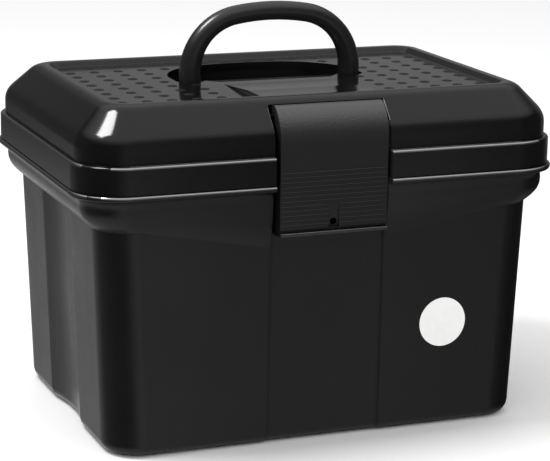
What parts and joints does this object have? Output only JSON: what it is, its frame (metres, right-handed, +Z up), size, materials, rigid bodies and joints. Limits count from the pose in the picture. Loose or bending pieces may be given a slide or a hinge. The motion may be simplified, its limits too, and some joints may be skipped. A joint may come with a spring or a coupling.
{
  "type": "horse grooming box",
  "caption": "Lidded carrying box for horse grooming tools: drafted tub, domed rear-hinged lid, folding arch handle, front flip latch and a lift-out tray.",
  "frame": {"origin": "middle of the base, where the tub stands on the floor", "axes": "+X along the width to the right, +Y to the back where the hinges are, +Z up"},
  "size_m": [0.4, 0.2897, 0.3298],
  "materials": {
    "tub_plastic": "semi-gloss moulded polypropylene",
    "lid_plastic": "polished moulded polypropylene",
    "pin_steel": "drawn, blackened",
    "tray_plastic": "matte moulded polypropylene",
    "label_vinyl": "blank white vinyl sticker"
  },
  "bodies": {
    "tub_body": {"tub": "tub_plastic", "hinge_pin_left": "pin_steel", "hinge_pin_right": "pin_steel", "name_label": "label_vinyl"},
    "lid_body": {"lid": "lid_plastic", "handle_pin_left": "pin_steel", "handle_pin_right": "pin_steel", "latch_pin": "pin_steel"},
    "handle_body": {"handle": "lid_plastic"},
    "latch_body": {"latch": "lid_plastic"},
    "tray_body": {"tray": "tray_plastic"}
  },
  "joints": [
    {"name": "lid_hinge", "type": "hinge", "parent": "tub_body", "child": "lid_body", "pos_m": [0, 0.1451, 0.213], "axis": [-1, 0, 0], "range_deg": [0, 100]},
    {"name": "handle_fold", "type": "hinge", "parent": "lid_body", "child": "handle_body", "pos_m": [0, 0, 0.2607], "axis": [-1, 0, 0], "range_deg": [0, 90]},
    {"name": "latch_flip", "type": "hinge", "parent": "lid_body", "child": "latch_body", "pos_m": [0, -0.12098, 0.25968], "axis": [-1, 0, 0], "range_deg": [0, 90]},
    {"name": "tray_lift", "type": "slide", "parent": "tub_body", "child": "tray_body", "axis": [0, 0, 1], "range_m": [0, 0.028]}
  ]
}
